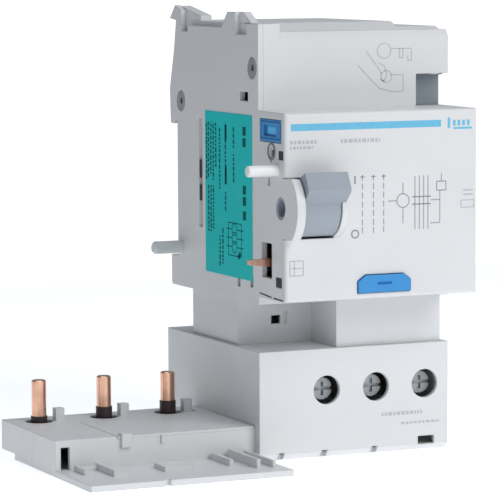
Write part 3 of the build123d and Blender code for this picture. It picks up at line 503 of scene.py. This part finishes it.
def side_details():
    """Moulded boss, near-black pads as painted shade in the apertures, and the dark seam line on
    the left face.
    """
    on_side = facing_left(low_mm("left_cover")[0])
    boss = ring(-58.4, 12.8, 1.95, 0.4, 20)
    print_strips("side_boss", on_side, boss, pocket_grey, "housing", BOSS_HEIGHT)
    # near-black pads over the openings: painted shade for their dark insides
    dark = [(-63.8, 13.2, -63.8, 11.0, 2.6), (-59.4, 13.3, -59.4, 11.5, 1.2)]
    dark += [(-62.3, -17.7, -62.3, -20.0, 3.2)]
    dark += [(-15.1, 8.3, -15.1, 3.6, 1.5), (-15.1, 1.9, -15.1, -2.2, 1.5)]
    print_strips("side_aperture_shade", on_side, dark, seam_dark_and_hole_shade, "housing")
    seam = [(-51.2, -22.4, -58.0, -22.9, 0.35), (-59.2, -22.95, -64.6, -23.1, 0.35)]
    print_strips("side_seam", on_side, seam, seam_dark_and_hole_shade, "housing")


def notch_panel():
    """A mid-grey sheet on the back wall of the corner notch makes it read dark grey."""
    back = facing_front(upper_y + NOTCH_DEPTH)
    panel = [(17.4, 26.45, 26.0, 26.45, 7.9)]
    print_strips("notch_panel", back, panel, pocket_grey, "housing", PANEL_THICKNESS)


# columns of fine print on the label, as (y, top, bottom)
LABEL_COLUMNS = (
    (-20.4, 18.2, 4.2), (-21.9, 18.2, 5.0), (-23.4, 18.2, 3.6), (-25.0, 18.2, 7.0),
    (-20.4, 2.2, -9.6), (-21.9, 2.2, -9.6), (-23.4, 2.2, -8.8), (-27.4, 17.0, 1.6),
    (-31.0, 18.4, 3.0), (-31.0, 1.0, -3.6), (-36.0, 17.6, 12.4), (-36.0, 10.8, 3.8),
    (-29.2, -8.0, -17.2), (-27.4, -10.2, -17.8),
)
# bold blocks down the label's front edge, as (top, bottom)
LABEL_BLOCKS = ((18.0, 15.8), (15.2, 13.0), (3.4, 1.2), (0.6, -1.6), (-3.0, -5.2))


def label_print():
    """Columns of fine print, a small circuit drawing and bold blocks."""
    fine = dashes(3.6, 18.2, -19.2, 0.9, 0.75, vertical=True)
    for y, top, bottom in LABEL_COLUMNS:
        fine += dashes(bottom, top, y, 0.9, 0.75, vertical=True)
    for z in (-8.0, -10.2, -12.4):
        fine += ring(-36.4, z, 1.5, HAIRLINE, 12)
        fine += [(-41.8, z, -38.0, z, FINE_LINE), (-34.8, z, -31.4, z, FINE_LINE)]
    outline = [(-32.6, -6.4), (-40.6, -6.4), (-40.6, -14.6), (-32.6, -14.6)]
    fine += polyline(outline, HAIRLINE, True)
    print_strips("label_fine_print", on_label, fine, ink_dark, "housing")
    bold = [(-42.5, top, -42.5, bottom, 1.9) for top, bottom in LABEL_BLOCKS]
    bold += [(-31.2, 18.0, -31.2, 14.0, 1.1), (-31.2, 7.6, -31.2, 3.0, 1.1)]
    bold += [(-40.0, -13.6, -38.6, -15.0, 1.2)]
    print_strips("label_bold_print", on_label, bold, ink_dark, "housing")


# ---------------------------------------------------------------- stage
FLOOR_GLOW = 0.52
FLOOR_HALF = 0.35
BACKDROP = 1.1
FILL = 0.27
KEY_AT = Vector((0.15, -0.46, 0.28))
KEY_POWER = 1.42
FRONT_AT = Vector((-0.12, -0.50, -0.10))
FRONT_POWER = 0.27
PANEL_SIZE = 0.32
TOP_TOWARDS = Vector((0.05, 0.10, 1.0))
TOP_STRENGTH = 0.75
TOP_SPREAD = math.radians(50.0)


def add_floor():
    material, tree, shader = new_material("floor")
    tone = noise(tree, 3.0, 2.0)
    tree.links.new(
        blend_colours(tree, remap(tree, tone, 0.0, 1.0), (0.92, 0.93, 0.94), (0.94, 0.95, 0.96)),
        shader.inputs["Base Color"],
    )
    shader.inputs["Roughness"].default_value = 0.9
    shader.inputs["Specular IOR Level"].default_value = 0.1
    shader.inputs["Emission Color"].default_value = (0.96, 0.98, 1.0, 1.0)
    shader.inputs["Emission Strength"].default_value = FLOOR_GLOW
    half = FLOOR_HALF
    z = cad_box[0][2]
    mesh = bpy.data.meshes.new("floor")
    corners = [(-half, -half, z), (half, -half, z), (half, half, z), (-half, half, z)]
    mesh.from_pydata(corners, [], [(0, 1, 2, 3)])
    mesh.materials.append(material)
    floor = bpy.data.objects.new("floor", mesh)
    bpy.context.scene.collection.objects.link(floor)


def add_world():
    """White backdrop behind the object, softer blue-grey fill on it."""
    world = bpy.data.worlds.new("studio")
    world.use_nodes = True
    tree = world.node_tree
    backdrop = tree.nodes["Background"]
    backdrop.inputs["Color"].default_value = (1.0, 1.0, 1.0, 1.0)
    backdrop.inputs["Strength"].default_value = BACKDROP
    fill = tree.nodes.new("ShaderNodeBackground")
    fill.inputs["Color"].default_value = (0.86, 0.94, 1.0, 1.0)
    fill.inputs["Strength"].default_value = FILL
    rays = tree.nodes.new("ShaderNodeLightPath")
    mix = tree.nodes.new("ShaderNodeMixShader")
    tree.links.new(rays.outputs["Is Camera Ray"], mix.inputs["Fac"])
    tree.links.new(fill.outputs["Background"], mix.inputs[1])
    tree.links.new(backdrop.outputs["Background"], mix.inputs[2])
    tree.links.new(mix.outputs["Shader"], tree.nodes["World Output"].inputs["Surface"])
    bpy.context.scene.world = world


def add_lamp(kind, name, energy, colour, at, towards):
    """A lamp that shines from the towards direction back at the origin."""
    data = bpy.data.lights.new(name, kind)
    data.energy = energy
    data.color = colour
    lamp = bpy.data.objects.new(name, data)
    lamp.location = at
    lamp.rotation_euler = towards.to_track_quat("Z", "Y").to_euler()
    bpy.context.scene.collection.objects.link(lamp)
    return data


def add_lights():
    """Key from the upper right, weak front light from the lower left, soft top light."""
    key = add_lamp("AREA", "key", KEY_POWER, (1.0, 0.995, 0.985), KEY_AT, KEY_AT)
    key.size = PANEL_SIZE
    front = add_lamp("AREA", "front", FRONT_POWER, (0.96, 0.98, 1.0), FRONT_AT, FRONT_AT)
    front.size = PANEL_SIZE
    top = add_lamp("SUN", "top", TOP_STRENGTH, (0.95, 0.975, 1.0), Vector(), TOP_TOWARDS)
    top.angle = TOP_SPREAD
    bpy.context.scene.view_settings.view_transform = "Standard"


add_camera()
dress_cad_nodes()
front_stripe()
nose_print()
wiring_diagram()
switch_marks()
handling_icon()
control_marks()
terminal_print()
side_details()
notch_panel()
label_print()
add_floor()
add_world()
add_lights()
